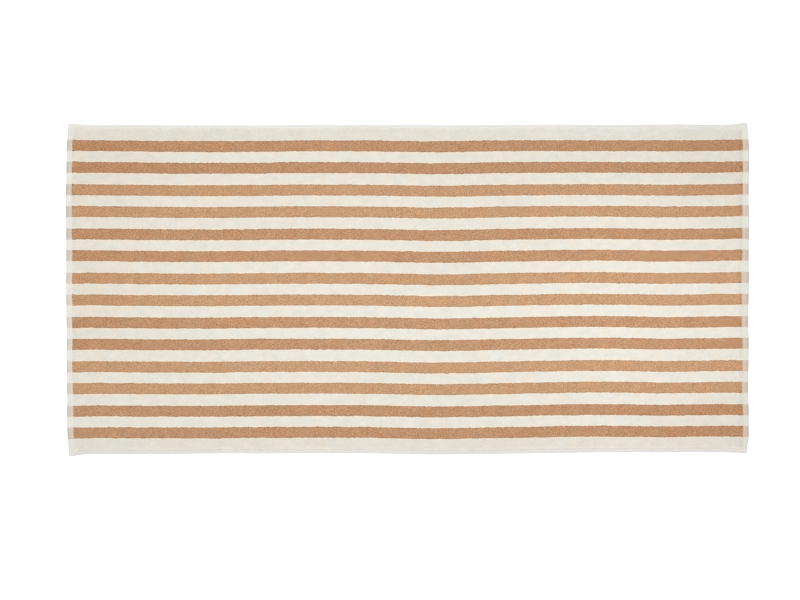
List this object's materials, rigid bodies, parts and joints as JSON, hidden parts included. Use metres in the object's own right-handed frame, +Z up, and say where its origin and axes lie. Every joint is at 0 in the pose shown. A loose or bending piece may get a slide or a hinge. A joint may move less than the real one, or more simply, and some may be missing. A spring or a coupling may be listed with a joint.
{
  "type": "bath towel",
  "caption": "Striped terry bath towel spread flat: one woven cloth with looped pile, flat-woven hemmed ends and narrow side hems, lying on its back.",
  "frame": {"origin": "on the surface that the towel lies on, under the middle of the cloth's box", "axes": "+X along the towel's length, parallel to its stripes, +Y across its width, +Z up from the surface, out of the face that shows"},
  "size_m": [1.3998, 0.6824, 0.0063],
  "materials": {
    "ecru_terry": "undyed cotton terry, soft matt loops",
    "clay_terry": "clay-brown dyed cotton terry, soft matt loops",
    "sand_terry": "sandy-tan dyed cotton terry, soft matt loops",
    "hem_weave": "flat-woven cotton, matt, faintly striped where the dyed yarns run through",
    "sewing_thread": "ecru sewing thread"
  },
  "bodies": {
    "root": {"towel": "ecru_terry"}
  },
  "joints": []
}
